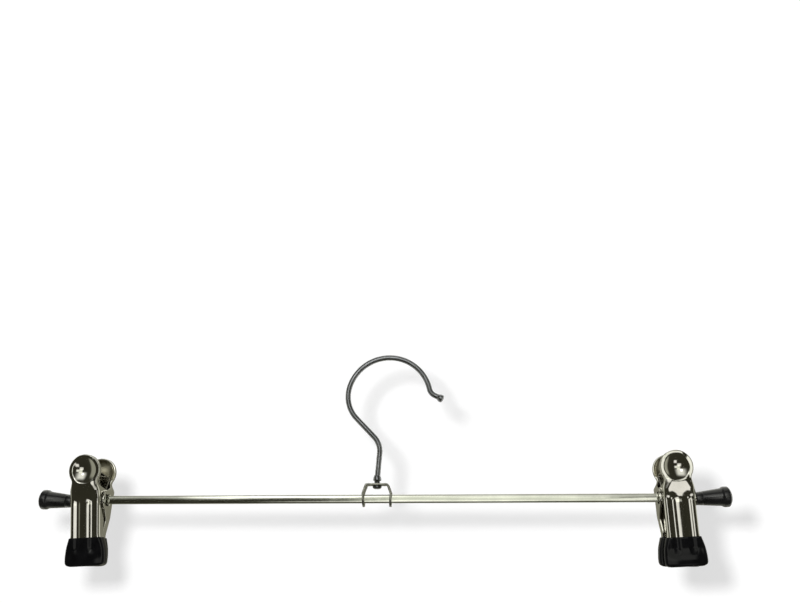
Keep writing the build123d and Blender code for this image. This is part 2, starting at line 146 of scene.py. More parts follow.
# Grips
GRIP_TOP, GRIP_BOTTOM = -20.3, -35.3
GRIP_SIDE = [(11.15, -40.0), (11.1, -30.0), (10.7, -26.0), (9.9, -23.0), (9.0, -20.3)]
GRIP_HALF = 11.1
GRIP_CORNER_R, GRIP_SKIN, GRIP_FACE, GRIP_EDGE_R = 2.6, 0.35, 0.1, 1.3
GRIP_SIDE_R, GRIP_BACK_R = 1.5, 0.5
GRIP_GROOVE_DEPTH, GRIP_GROOVE_FADE = 0.9 * GROOVE_DEPTH, (-29.5, -25.5)
GRIP_SWELL, GRIP_SWELL_UP, GRIP_SWELL_LOSS = 0.8, (-25.0, -33.0), 0.8
GRIP_BACK_INSET, GRIP_SOFT = 0.3, 1.0
# Rounding of the upper edge: (down from the top, drawn in)
GRIP_LIP_DEPTH, GRIP_LIP = 0.45, [(0.25, 0.06), (0.08, 0.2), (0.0, 0.42)]
FACE_POINTS, BACK_POINTS = 31, 11
FOOT_RINGS, SIDE_RINGS = 7, 24

# Springs
SPRING_T, SPRING_HALF, SPRING_EDGE = 0.5, 6.5, 0.12
LOOP_R, LOOP_UP = 2.95, 5.0
SPRING_CORNER = (8.2, 12.6)
FRONT_END, REAR_END = (2.0, 13.0), (-5.0, 14.9)
CORNER_BEND_R, LOOP_TOP_R, LOOP_FOOT_R = 0.9, 1.6, 2.85


def smoothstep(low, high, value):
    """0 before low, 1 after high, and a smooth rise between."""
    share = np.clip((np.asarray(value, float) - low) / (high - low), 0, 1)
    return share * share * (3 - 2 * share)


def softened(function, value, reach):
    """A function of one number averaged over a reach, which rounds its corners."""
    offsets = np.linspace(-reach, reach, 9)
    return sum(function(value + offset) for offset in offsets) / len(offsets)


def grid_quads(rows, columns, wrap):
    """Quads of a grid of points, row by row, with the last column joined to the first on wrap."""
    quads = []
    for row in range(rows - 1):
        for column in range(columns if wrap else columns - 1):
            after = (column + 1) % columns
            here, there = row * columns, (row + 1) * columns
            quads.append((here + column, here + after, there + after, there + column))
    return quads


def leaned(points, degrees_over, x, up):
    """Points turned about a line through (x, up) that runs front to back: the lower ones go to +x."""
    points = np.asarray(points, float)
    turn = radians(degrees_over)
    across, rise = points[..., 0] - x, points[..., 2] - BAR_Z - up
    out = points.copy()
    out[..., 0] = x + across * cos(turn) - rise * sin(turn)
    out[..., 2] = BAR_Z + up + across * sin(turn) + rise * cos(turn)
    return out


def make_object(name, points, faces, material):
    """Smooth mesh object from points in millimetres."""
    mesh = bpy.data.meshes.new(name)
    mesh.from_pydata((np.asarray(points, float) * MM).tolist(), [], faces)
    mesh.update()
    mesh.polygons.foreach_set("use_smooth", [True] * len(mesh.polygons))
    obj = bpy.data.objects.new(name, mesh)
    bpy.context.scene.collection.objects.link(obj)
    mesh.materials.append(material)
    return obj


def apply_modifiers(obj):
    """Keep the mesh as its modifiers leave it."""
    depsgraph = bpy.context.evaluated_depsgraph_get()
    mesh = bpy.data.meshes.new_from_object(obj.evaluated_get(depsgraph))
    mesh.name = obj.name
    obj.modifiers.clear()
    obj.data = mesh


def closed_sweep(name, rings, material):
    """Skin over a stack of closed rings, with a flat face at each end."""
    rings = np.asarray(rings, float)
    count, around = rings.shape[:2]
    faces = grid_quads(count, around, True)
    faces.append(tuple(reversed(range(around))))
    faces.append(tuple((count - 1) * around + i for i in range(around)))
    return make_object(name, rings.reshape(-1, 3), faces, material)


def turtle_route(start, heading, moves, step):
    """Points and headings, in degrees, of a flat path of runs and tangent arcs."""
    x, z = start
    points, headings = [(x, z)], [heading]
    for kind, *sizes in moves:
        if kind == "run":
            (length,) = sizes
            parts = max(1, int(length / step))
            turn = 0.0
        else:
            radius, turn = sizes
            turn = turn if kind == "left" else -turn
            length = radius * radians(abs(turn))
            parts = max(2, int(length / step))
        chord = length / parts
        if turn:
            chord = 2 * radius * sin(radians(abs(turn)) / parts / 2)
        for _ in range(parts):
            heading += turn / parts / 2
            x += chord * cos(radians(heading))
            z += chord * sin(radians(heading))
            heading += turn / parts / 2
            points.append((x, z))
            headings.append(heading)
    return np.array(points), np.array(headings)


def rounded_route(corners, radii, step):
    """Points and headings of a flat polyline whose inner corners are arcs of the radii."""
    moves = []
    corners = [np.array(corner, float) for corner in corners]
    legs = [b - a for a, b in zip(corners, corners[1:])]
    headings = [degrees(atan2(leg[1], leg[0])) for leg in legs]
    cut_before = 0.0
    for index, leg in enumerate(legs):
        length = hypot(*leg)
        if index < len(radii):
            turn = (headings[index + 1] - headings[index] + 180) % 360 - 180
            cut = radii[index] * np.tan(radians(abs(turn)) / 2)
            moves.append(("run", length - cut_before - cut))
            moves.append(("left" if turn > 0 else "right", radii[index], abs(turn)))
            cut_before = cut
        else:
            moves.append(("run", length - cut_before))
    return turtle_route(tuple(corners[0]), headings[0], moves, step)


def rounded_rectangle(half_a, half_b, radius, steps):
    """Points round a rectangle with rounded corners, starting at the +a side."""
    points = []
    for sign_a, sign_b, start in ((1, 1, 0), (-1, 1, 90), (-1, -1, 180), (1, -1, 270)):
        for step in range(steps + 1):
            angle = radians(start + 90 * step / steps)
            points.append(
                (
                    sign_a * (half_a - radius) + radius * cos(angle),
                    sign_b * (half_b - radius) + radius * sin(angle),
                )
            )
    return np.array(points)


# Materials


def node_maker(tree):
    """Function that adds a node to a tree, with sockets and settings given by name."""

    def node(kind, **settings):
        made = tree.nodes.new(kind)
        for key, value in settings.items():
            if key in made.inputs:
                made.inputs[key].default_value = value
            else:
                setattr(made, key, value)
        return made

    return node


def new_material(name):
    """Empty node material and helpers to add a node and a link."""
    material = bpy.data.materials.new(name)
    material.use_nodes = True
    tree = material.node_tree
    tree.nodes.clear()
    return material, node_maker(tree), tree.links.new


def ramp(node, stops):
    """Colour ramp with the given (place, grey or colour) stops."""
    made = node("ShaderNodeValToRGB")
    elements = made.color_ramp.elements
    while len(elements) < len(stops):
        elements.new(0.5)
    for element, (place, colour) in zip(elements, stops):
        element.position = place
        element.color = (*colour, 1) if isinstance(colour, tuple) else (colour, colour, colour, 1)
    return made


def plated_metal(name, tones, rough, cloud, stretch, ripple, ripple_size):
    """Plated or drawn metal: clouded tone, fine scratches along one axis, and a faint ripple."""
    material, node, link = new_material(name)
    out = node("ShaderNodeOutputMaterial")
    shader = node("ShaderNodeBsdfPrincipled", Metallic=1.0)
    place = node("ShaderNodeTexCoord")
    clouds = node("ShaderNodeTexNoise", Scale=cloud, Detail=4.0)
    tone = ramp(node, [(0.3, tones[0]), (0.7, tones[1])])
    mapping = node("ShaderNodeMapping")
    mapping.inputs["Scale"].default_value = stretch
    scratches = node("ShaderNodeTexNoise", Scale=1.0, Detail=6.0, Roughness=0.7)
    gloss = ramp(node, [(0.35, rough[0]), (0.75, rough[1])])
    waves = node("ShaderNodeTexNoise", Scale=ripple_size, Detail=2.0)
    bump = node("ShaderNodeBump", Strength=1.0, Distance=ripple * MM)
    scratch_bump = node("ShaderNodeBump", Strength=0.25, Distance=0.01 * MM)
    link(place.outputs["Object"], clouds.inputs["Vector"])
    link(place.outputs["Object"], waves.inputs["Vector"])
    link(place.outputs["Object"], mapping.inputs["Vector"])
    link(mapping.outputs["Vector"], scratches.inputs["Vector"])
    link(clouds.outputs["Fac"], tone.inputs["Fac"])
    link(scratches.outputs["Fac"], gloss.inputs["Fac"])
    link(tone.outputs["Color"], shader.inputs["Base Color"])
    link(gloss.outputs["Color"], shader.inputs["Roughness"])
    link(waves.outputs["Fac"], bump.inputs["Height"])
    link(scratches.outputs["Fac"], scratch_bump.inputs["Height"])
    link(bump.outputs["Normal"], scratch_bump.inputs["Normal"])
    link(scratch_bump.outputs["Normal"], shader.inputs["Normal"])
    link(shader.outputs["BSDF"], out.inputs["Surface"])
    return material


def rubber(name, tones, rough, grain, grain_size, gloss_level, coat):
    """Black rubber or vinyl: moulded grain, smears in the gloss and a little dust in the tone."""
    material, node, link = new_material(name)
    out = node("ShaderNodeOutputMaterial")
    shader = node("ShaderNodeBsdfPrincipled")
    shader.inputs["Specular IOR Level"].default_value = gloss_level
    shader.inputs["Coat Weight"].default_value = coat
    shader.inputs["Coat Roughness"].default_value = 0.12
    place = node("ShaderNodeTexCoord")
    smears = node("ShaderNodeTexNoise", Scale=220.0, Detail=5.0, Roughness=0.6)
    tone = ramp(node, [(0.35, tones[0]), (0.75, tones[1])])
    gloss = ramp(node, [(0.3, rough[0]), (0.8, rough[1])])
    pores = node("ShaderNodeTexNoise", Scale=grain_size, Detail=3.0)
    bump = node("ShaderNodeBump", Strength=1.0, Distance=grain * MM)
    link(place.outputs["Object"], smears.inputs["Vector"])
    link(place.outputs["Object"], pores.inputs["Vector"])
    link(smears.outputs["Fac"], tone.inputs["Fac"])
    link(smears.outputs["Fac"], gloss.inputs["Fac"])
    link(pores.outputs["Fac"], bump.inputs["Height"])
    link(tone.outputs["Color"], shader.inputs["Base Color"])
    link(gloss.outputs["Color"], shader.inputs["Roughness"])
    link(bump.outputs["Normal"], shader.inputs["Normal"])
    link(shader.outputs["BSDF"], out.inputs["Surface"])
    return material


NICKEL = plated_metal(
    "jaw_nickel",
    tones=[(0.7, 0.69, 0.63), (0.82, 0.81, 0.75)],
    rough=(0.05, 0.13),
    cloud=120.0,
    stretch=(900, 900, 60),
    ripple=0.02,
    ripple_size=260.0,
)
# Copy of the nickel for the sheet's inner faces: its darker, browner tone is painted shade, and its gloss is
# rougher
NICKEL_INSIDE_PAINTED_SHADE = plated_metal(
    "jaw_inside_painted_shade",
    tones=[(0.4, 0.38, 0.28), (0.56, 0.53, 0.41)],
    rough=(0.26, 0.42),
    cloud=160.0,
    stretch=(500, 500, 90),
    ripple=0.03,
    ripple_size=300.0,
)
WIRE_STEEL = plated_metal(
    "wire_steel",
    tones=[(0.29, 0.3, 0.32), (0.42, 0.43, 0.46)],
    rough=(0.24, 0.34),
    cloud=150.0,
    stretch=(120, 120, 120),
    ripple=0.005,
    ripple_size=160.0,
)
BAR_STEEL = plated_metal(
    "bar_steel",
    tones=[(0.66, 0.67, 0.6), (0.82, 0.83, 0.75)],
    rough=(0.08, 0.16),
    cloud=60.0,
    stretch=(30, 500, 500),
    ripple=0.02,
    ripple_size=160.0,
)
STRAP_STEEL = plated_metal(
    "strap_steel",
    tones=[(0.26, 0.26, 0.23), (0.42, 0.42, 0.37)],
    rough=(0.2, 0.36),
    cloud=200.0,
    stretch=(600, 600, 90),
    ripple=0.02,
    ripple_size=500.0,
)
SPRING_STEEL = plated_metal(
    "spring_steel",
    tones=[(0.36, 0.35, 0.31), (0.5, 0.49, 0.44)],
    rough=(0.18, 0.34),
    cloud=200.0,
    stretch=(600, 60, 600),
    ripple=0.02,
    ripple_size=400.0,
)
GRIP_RUBBER = rubber(
    "grip_rubber",
    tones=[(0.002, 0.002, 0.0022), (0.004, 0.004, 0.0044)],
    rough=(0.07, 0.16),
    grain=0.016,
    grain_size=420.0,
    gloss_level=0.2,
    coat=0.0,
)
CAP_RUBBER = rubber(
    "cap_rubber",
    tones=[(0.003, 0.003, 0.0034), (0.007, 0.007, 0.008)],
    rough=(0.24, 0.36),
    grain=0.012,
    grain_size=900.0,
    gloss_level=0.8,
    coat=0.25,
)


# Hook


def domed_end(end, rim, dome, radii):
    """Profile of a shallow dome that rises by dome over a rim and stops at end: (place, radius)."""
    ball = (rim**2 + dome**2) / (2 * dome)
    return [(end - ball + sqrt(ball**2 - radius**2), radius) for radius in radii]


def hook_rings():
    """Rings of the bent wire, from inside its collar to its domed, upset end."""
    start = (0.0, BAR_Z + SHANK_START)
    points, headings = turtle_route(start, 90 - SHANK_LEAN, HOOK_MOVES, WIRE_STEP)
    last, heading = points[-1], radians(headings[-1])
    forward = np.array([cos(heading), sin(heading)])
    radii = [WIRE_R] * len(points)
    # the end swells over TIP_FLARE before the route's last point, and is domed past it
    lengths = np.concatenate([[0], np.cumsum(np.hypot(*np.diff(points, axis=0).T))])
    for index, length in enumerate(lengths):
        share = smoothstep(lengths[-1] - TIP_FLARE, lengths[-1], length)
        radii[index] = WIRE_R + (TIP_R - WIRE_R) * float(share)
    beyond = [(TIP_LENGTH - TIP_DOME - TIP_EDGE_BACK, TIP_R)]
    beyond += domed_end(TIP_LENGTH, TIP_R, TIP_DOME, (TIP_R - TIP_EDGE_IN) * (1 - TIP_RINGS))
    points = list(points)
    headings = list(headings)
    for ahead, radius in beyond:
        points.append(last + forward * ahead)
        headings.append(headings[-1])
        radii.append(radius)
    rings = []
    for point, heading, radius in zip(points, headings, radii):
        side = np.array([-sin(radians(heading)), 0, cos(radians(heading))])
        centre = np.array([point[0], 0, point[1]])
        angles = [2 * pi * i / WIRE_SIDES for i in range(WIRE_SIDES)]
        rings.append([centre + radius * (cos(a) * side + sin(a) * np.array([0, 1, 0])) for a in angles])
    return rings


def lathe_rings(profile, origin, along, across, around):
    """Rings turned round an axis: the profile gives (place along it, radius)."""
    along, across = np.array(along, float), np.array(across, float)
    third = np.cross(along, across)
    rings = []
    for place, radius in profile:
        centre = np.array(origin, float) + along * place
        angles = [2 * pi * i / around for i in range(around)]
        rings.append([centre + radius * (cos(a) * across + sin(a) * third) for a in angles])
    return rings


def joined(objects, name):
    """Several meshes as one object."""
    points, faces = [], []
    for obj in objects:
        first = len(points)
        points += [tuple(v.co / MM) for v in obj.data.vertices]
        faces += [tuple(first + i for i in polygon.vertices) for polygon in obj.data.polygons]
    made = make_object(name, points, faces, objects[0].data.materials[0])
    for obj in objects:
        bpy.data.objects.remove(obj)
    return made


def make_hook():
    """The wire with its collar and its peened head."""
    wire = closed_sweep("hook_route", hook_rings(), WIRE_STEEL)
    under_plate = PLATE_TOP - STRAP - HEAD_GAP
    profile = [(HEAD_BOTTOM + up, HEAD_R - inside) for up, inside in HEAD_ROUND]
    profile += [(under_plate - HEAD_EDGE, HEAD_R), (under_plate, HEAD_R - HEAD_EDGE)]
    profile += [(under_plate, WIRE_R), (COLLAR_BOTTOM, WIRE_R)]
    profile += [(COLLAR_BOTTOM + up, COLLAR_R - inside) for up, inside in COLLAR_ROUND]
    profile += [(COLLAR_TOP, COLLAR_NECK_R - COLLAR_EDGE), (COLLAR_TOP + COLLAR_LIP, WIRE_R - COLLAR_EDGE)]
    rings = lathe_rings(profile, (0, 0, BAR_Z), (0, 0, 1), (1, 0, 0), HEAD_SIDES)
    rivet = closed_sweep("hook_rivet", rings, WIRE_STEEL)
    hook = joined([wire, rivet], "hook_wire")
    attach(hook, "hook")
    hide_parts("hook")


# Bar, bracket and caps


def wave_sum(x, waves):
    """Sum at a place of waves, each a (size, millimetres to a radian, start)."""
    return sum(size * sin(x / reach + start) for size, reach, start in waves)


def make_bar():
    """Flattened bar with its stake marks and slight unevenness from the rolling."""
    places = list(np.linspace(-BAR_HALF_LENGTH, BAR_HALF_LENGTH, BAR_PLACES))
    for side in (-1, 1):
        places += list(side * STAKE_X + np.linspace(-STAKE_WIDTH / 2, STAKE_WIDTH / 2, STAKE_PLACES))
    places = sorted(set(round(float(place), 3) for place in places))
    section = rounded_rectangle(BAR_DEPTH / 2, BAR_HEIGHT / 2, BAR_EDGE, BAR_EDGE_STEPS)
    rings = []
    for x in places:
        notch = STAKE_DEPTH * (1 - float(smoothstep(0, STAKE_WIDTH / 2, abs(abs(x) - STAKE_X))))
        half = section.copy()
        depth = np.minimum(abs(half[:, 0]) - BAR_SLACK, BAR_DEPTH / 2 - notch)
        half[:, 0] = np.sign(half[:, 0]) * depth + wave_sum(x, BAR_WAVER)
        twist = wave_sum(x, BAR_TWIST)
        rings.append([(x, y - z * twist, BAR_Z + (z + y * twist) * BAR_HEIGHT_SHARE) for y, z in half])
    bar = closed_sweep("bar_rod", rings, BAR_STEEL)
    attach(bar, "bar")
    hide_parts("crossbar")


def make_bracket():
    """Strap bent over the bar, with a flat top and two legs that end in round feet."""
    half_leg = [
        (-(FOOT_HALF - STRAP / 2), FOOT_UP),
        (-(KNEE_HALF - STRAP / 2), KNEE_UP),
        (-(PLATE_HALF - STRAP / 2), PLATE_TOP - STRAP / 2),
    ]
    corners = half_leg + [(-x, z) for x, z in reversed(half_leg)]
    bends = [KNEE_BEND_R, PLATE_BEND_R, PLATE_BEND_R, KNEE_BEND_R]
    points, headings = rounded_route(corners, bends, STRIP_STEP)
    rings = []
    for (x, up), heading in zip(points, headings):
        normal = np.array([-sin(radians(heading)), 0, cos(radians(heading))])
        strap_half = STRAP_WIDTH / 2
        if up < 0:
            strap_half = sqrt(strap_half**2 - up**2)
        section = rounded_rectangle(STRAP / 2, strap_half, STRAP_EDGE, STRIP_EDGE_STEPS)
        centre = np.array([x, 0, BAR_Z + up])
        rings.append([centre + a * normal + np.array([0, b, 0]) for a, b in section])
    bracket = closed_sweep("bracket_strap", rings, STRAP_STEEL)
    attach(bracket, "bar")
    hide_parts("hook_bracket")


def make_end_cap(side, name, node):
    """Tapered cap with a moulding step, a mushroom rim and a domed end."""
    taper = (CAP_OUTER_R - CAP_INNER_R) / (CAP_SHOULDER_X - CAP_INNER_X)
    profile = [(CAP_INNER_X + on, CAP_INNER_R - inside) for on, inside in CAP_MOUTH]
    profile += [(CAP_INNER_X + on, CAP_INNER_R + on * taper - inside) for on, inside in CAP_STEP]
    profile += [(CAP_SHOULDER_X + on, CAP_OUTER_R + outside) for on, outside in CAP_SHOULDER]
    profile += [(CAP_RIM_X + on, CAP_RIM_R - inside) for on, inside in RIM_START]
    profile += [(CAP_END_X - CAP_DOME - back, CAP_RIM_R - inside) for back, inside in RIM_FINISH]
    profile += domed_end(CAP_END_X, CAP_RIM_R, CAP_DOME, CAP_RIM_R * (1 - CAP_RINGS))
    rings = lathe_rings(profile, (0, 0, BAR_Z), (side, 0, 0), (0, 1, 0), CAP_SIDES)
    rings = leaned(rings, side * CAP_TILT, side * (CAP_INNER_X + CAP_END_X) / 2, 0)
    cap = closed_sweep(name, rings, CAP_RUBBER)
    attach(cap, "bar")
    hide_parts(node)


# Jaws


def face_out(up):
    """How far the sheet's face stands out from the middle plane at a height, before pressing."""
    line = [LEG_END, LEG_TOP, PAD_FOOT, PAD_TOP]
    return softened(lambda v: np.interp(v, [p[1] for p in line], [p[0] for p in line]), up, FACE_SOFT)


def half_width(up, half):
    """Half the jaw's width at a height below the middle of its lobe."""
    line = [(TIP_FOOT_HALF, LEG_END[1]), (TIP_HALF, TIP_CORNER_UP), (LEG_HALF, FLARE_UP)]
    if half > LEG_HALF:
        line.append((half, EAR_FOOT_UP))
    line += [(half, SHOULDER_UP), (WAIST_HALF, WAIST_UP)]

    def sharp(v):
        sides = np.interp(v, [p[1] for p in line], [p[0] for p in line])
        lobe = np.sqrt(np.clip(LOBE_R**2 - (v - LOBE_UP) ** 2, 0, None))
        return np.maximum(sides, lobe)

    return softened(sharp, up, SIDE_SOFT)


def free_edge(up):
    """How far out the free edge of a side wall lies at a height: it goes round the ear."""
    above = np.interp(up, [p[1] for p in EDGE_ABOVE_EAR[::-1]], [p[0] for p in EDGE_ABOVE_EAR[::-1]])
    below = np.interp(up, [p[1] for p in EDGE_BELOW_EAR[::-1]], [p[0] for p in EDGE_BELOW_EAR[::-1]])
    ear = EAR_CENTRE - np.sqrt(np.clip(EAR_R**2 - up**2, 0, None))
    return np.where(up > EAR_UP, above, np.where(up < -EAR_UP, below, ear))


def above_zero(value, blend):
    """The value where it is positive and 0 elsewhere, with the corner between them rounded by a blend."""
    return (value + np.sqrt(value**2 + blend**2)) / 2


def leg_crown(across):
    """How far the leg's face is crowned at a distance from its middle line."""
    return CROWN * (1 - np.clip(across / LEG_HALF, 0, 1) ** 2)


def groove_share(away):
    """Depth of a groove, as a share, at a distance from its bottom line: a round bottom and soft edges."""
    flank = 1 - np.sqrt(away**2 + GROOVE_ROUND**2) / GROOVE_HALF
    return above_zero(flank, GROOVE_BLEND)


def pressed(x, up):
    """What the pressing adds to the face: dish, raised neck panel, grooves and crowned ribs."""
    across = abs(x)
    radius = np.hypot(x, up - LOBE_UP)
    dish = above_zero(DISH_DEPTH * (1 - (radius / DISH_R) ** 2), DISH_BLEND)
    wave = PANEL_WAVE * np.cos(pi * np.clip(across / GROOVE_X, 0, 1))
    lower = PANEL_FOOT_UP - wave - PANEL_FALL * np.clip(across - GROOVE_X, 0, None)
    side = np.interp(up, [p[1] for p in PANEL_SIDE], [p[0] for p in PANEL_SIDE])
    panel = (
        smoothstep(-PANEL_SIDE_SOFT, PANEL_SIDE_SOFT, side - across)
        * smoothstep(-PANEL_FOOT_SOFT, PANEL_FOOT_SOFT, up - lower)
        * smoothstep(*PANEL_DISH_SOFT, radius - DISH_R)
    )
    over = np.where(up > GROOVE_TOP, GROOVE_TOP_STRETCH * (up - GROOVE_TOP), 0)
    past = np.where(up < GROOVE_END, GROOVE_END - up, over)
    groove = groove_share(np.hypot(across - GROOVE_X, past))
    on_leg = smoothstep(*LEG_BLEND_UP, up)
    rib = RIB * np.cos(np.clip(across / (GROOVE_X - GROOVE_HALF), 0, 1) * pi / 2) * on_leg
    return SWELL * panel - dish - GROOVE_DEPTH * groove + leg_crown(across) * on_leg + rib


def jaw_half_rows(half):
    """Rows from the spine to the free edge, (x, up, out), from the top of the lobe to the foot."""
    turns = np.radians(np.linspace(90, 0, LOBE_ROWS, endpoint=False))
    ups = np.concatenate(
        [
            np.arange(LOBE_UP, SLOT_HALF_HEIGHT + ROW / 2, -ROW),
            np.linspace(SLOT_HALF_HEIGHT, -SLOT_HALF_HEIGHT, SLOT_ROWS),
            np.arange(-SLOT_HALF_HEIGHT - ROW, FINE_END, -ROW),
            np.arange(COARSE_TOP, LEG_END[1] + ROW / 2, -COARSE_ROW),
            [LEG_END[1]],
        ]
    )
    edge = [(LOBE_R * cos(t), LOBE_UP + LOBE_R * sin(t)) for t in turns]
    normal = [(cos(t), sin(t)) for t in turns]
    spine = [(0.0, LOBE_UP + LOBE_MIDDLE * LOBE_R * sin(t)) for t in turns]
    slope = (half_width(ups + NUDGE, half) - half_width(ups - NUDGE, half)) / (2 * NUDGE)
    for up, width, rise in zip(ups, half_width(ups, half), slope):
        length = hypot(1, rise)
        edge.append((float(width), float(up)))
        normal.append((1 / length, -rise / length))
        spine.append((0.0, float(up)))
    edge, normal, spine = np.array(edge), np.array(normal), np.array(spine)
    roll = LOBE_ROLL_R + (ROLL_R - LOBE_ROLL_R) * smoothstep(*ROLL_CHANGE, edge[:, 1])
    inset = normal * roll[:, None]
    columns, outs = [], []
    for share in np.linspace(0, 1, FACE_COLUMNS):
        flat = spine + share * (edge - inset - spine)
        columns.append(flat)
        outs.append(face_out(flat[:, 1]) + pressed(flat[:, 0], flat[:, 1]))
    for angle in np.radians(ROLL_ANGLES):
        flat = edge - inset * (1 - sin(angle))
        columns.append(flat)
        drop = roll * (1 - cos(angle))
        outs.append(face_out(flat[:, 1]) + pressed(flat[:, 0], flat[:, 1]) - drop)
    top, bottom, up = outs[-1], free_edge(edge[:, 1]), abs(edge[:, 1])
    near = 1 - smoothstep(SLOT_HALF_HEIGHT, SLOT_FADE_UP, up)
    inner = near * SLOT_HALF_WIDTH + (1 - near) * (top - WALL_INNER * (top - bottom))
    outer = -near * SLOT_HALF_WIDTH + (1 - near) * (top - WALL_OUTER * (top - bottom))
    for start, end in ((top, inner), (inner, outer), (outer, bottom)):
        for share in (1 / 3, 2 / 3, 1):
            columns.append(edge)
            outs.append(start + share * (end - start))
    flat = np.stack(columns, axis=1)
    return np.concatenate([flat, np.stack(outs, axis=1)[:, :, None]], axis=2)


def in_slot(points):
    """True for a wall's quad that lies where the bar passes through."""
    middle = points.mean(axis=0)
    return (
        abs(middle[1]) < SLOT_HALF_HEIGHT
        and abs(middle[2]) < SLOT_HALF_WIDTH
        and np.ptp(points[:, 0]) < WALL_SPREAD
    )


def make_jaw(side, out, half, name, body):
    """One jaw, pressed from sheet."""
    right = jaw_half_rows(half)
    left = right[:, :0:-1].copy()
    left[:, :, 0] *= -1
    rows = np.concatenate([left, right], axis=1)
    count, across = rows.shape[:2]
    flat = rows.reshape(-1, 3)
    quads = [quad for quad in grid_quads(count, across, False) if not in_slot(flat[list(quad)])]
    points = np.stack([side * CLIP_X + flat[:, 0], out * flat[:, 2], BAR_Z + flat[:, 1]], axis=1)
    if out < 0:
        points = leaned(points, FRONT_LEAN, side * CLIP_X, 0)
        quads = [tuple(reversed(quad)) for quad in quads]
    jaw = make_object(name, points, quads, NICKEL)
    # The inner faces take the copy of the nickel with painted shade in its tone
    jaw.data.materials.append(NICKEL_INSIDE_PAINTED_SHADE)
    weld = jaw.modifiers.new("weld", "WELD")
    weld.merge_threshold = WELD_REACH * MM
    sheet = jaw.modifiers.new("sheet", "SOLIDIFY")
    sheet.thickness = (SHEET - SHEET_SLACK) * MM
    sheet.offset = -1
    sheet.use_even_offset = True
    sheet.material_offset = 1
    edges = jaw.modifiers.new("edges", "BEVEL")
    edges.width = SHEET_BEVEL * MM
    edges.segments = 2
    edges.limit_method = "ANGLE"
    edges.angle_limit = radians(BEVEL_ANGLE)
    apply_modifiers(jaw)
    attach(jaw, body)
    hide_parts(name.replace("_shell", ""))


# Grips


def grip_half_width(up):
    """Half the grip's width at a height, with its lower corners rounded."""
    ups, halves = [p[1] for p in GRIP_SIDE], [p[0] for p in GRIP_SIDE]
    width = float(softened(lambda v: np.interp(v, ups, halves), up, GRIP_SOFT))
    low = min(max(GRIP_BOTTOM + GRIP_CORNER_R - up, 0.0), GRIP_CORNER_R)
    return width - GRIP_CORNER_R + sqrt(GRIP_CORNER_R**2 - low**2)


def grip_face(x, up):
    """How far out the grip's face stands: it follows the jaw's face, and its grooves fade."""
    across = abs(x)
    groove = GRIP_GROOVE_DEPTH * groove_share(across - GROOVE_X) * smoothstep(*GRIP_GROOVE_FADE, up)
    loss = GRIP_SWELL_LOSS * (across / GRIP_HALF) ** 4
    swollen = GRIP_SWELL * smoothstep(*GRIP_SWELL_UP, up) * (1 - loss)
    return face_out(up) + GRIP_SKIN + leg_crown(across) - groove + swollen


def grip_ring(up, inset):
    """Closed ring of (x, out) round the grip at a height, drawn in by an inset."""
    half = grip_half_width(up)
    flat_half = half - GRIP_SIDE_R
    face = []
    for x in np.linspace(-flat_half, flat_half, FACE_POINTS):
        face.append((x * (half - inset) / half, float(grip_face(x, up)) - inset))
    corner = float(grip_face(flat_half, up)) - GRIP_SIDE_R
    wall = []
    for angle in np.radians(ROLL_ANGLES):
        x = flat_half + GRIP_SIDE_R * sin(angle) - inset
        wall.append((x, corner + (GRIP_SIDE_R - inset) * cos(angle)))
    wall.append((half - inset, (corner + GRIP_BACK_R + GRIP_FACE) / 2))
    back_half = half - inset - GRIP_BACK_R
    for angle in np.radians([0, 45, 90]):
        y = GRIP_FACE + GRIP_BACK_R - (GRIP_BACK_R - inset * GRIP_BACK_INSET) * sin(angle)
        wall.append((back_half + GRIP_BACK_R * cos(angle), y))
    behind = np.linspace(back_half, -back_half, BACK_POINTS)[1:-1]
    back = [(x, GRIP_FACE + inset * GRIP_BACK_INSET) for x in behind]
    return face + wall + back + [(-x, y) for x, y in reversed(wall)]


def make_grip(side, out, name, body):
    """Soft boot over the tip of a jaw."""
    foot = np.radians(np.linspace(90, 0, FOOT_RINGS))
    sides = np.linspace(GRIP_BOTTOM + GRIP_EDGE_R, GRIP_TOP - GRIP_LIP_DEPTH, SIDE_RINGS)[1:]
    stack = [(GRIP_BOTTOM + GRIP_EDGE_R * (1 - sin(a)), GRIP_EDGE_R * (1 - cos(a))) for a in foot]
    stack += [(up, 0.0) for up in sides]
    stack += [(GRIP_TOP - down, inset) for down, inset in GRIP_LIP]
    rings = []
    for up, inset in stack:
        rings.append([(side * CLIP_X + x, out * y, BAR_Z + up) for x, y in grip_ring(up, inset)])
    if out > 0:
        rings = [ring[::-1] for ring in rings]
    else:
        rings = leaned(rings, FRONT_LEAN, side * CLIP_X, 0)
    grip = closed_sweep(name, rings, GRIP_RUBBER)
    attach(grip, body)
    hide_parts(name.replace("_boot", ""))


# Springs


def make_spring_half(side, out, end, name, prefix):
    """Half of the spring, from under the bar up its arm to the end folded in."""
    corners = [(0, -LOOP_R), (LOOP_R, -LOOP_R), (LOOP_R, LOOP_UP), SPRING_CORNER, end]
    points, headings = rounded_route(corners, [LOOP_FOOT_R, LOOP_TOP_R, CORNER_BEND_R], STRIP_STEP)
    rings = []
    for (y, up), heading in zip(points, headings):
        normal = np.array([0, -sin(radians(heading)) * out, cos(radians(heading))])
        section = rounded_rectangle(SPRING_T / 2, SPRING_HALF, SPRING_EDGE, STRIP_EDGE_STEPS)
        centre = np.array([side * CLIP_X, out * y, BAR_Z + up])
        rings.append([centre + a * normal + np.array([b, 0, 0]) for a, b in section])
    if out > 0:
        rings = [ring[::-1] for ring in rings]
    spring = closed_sweep(name, rings, SPRING_STEEL)
    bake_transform(spring)
    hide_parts(prefix + "spring")


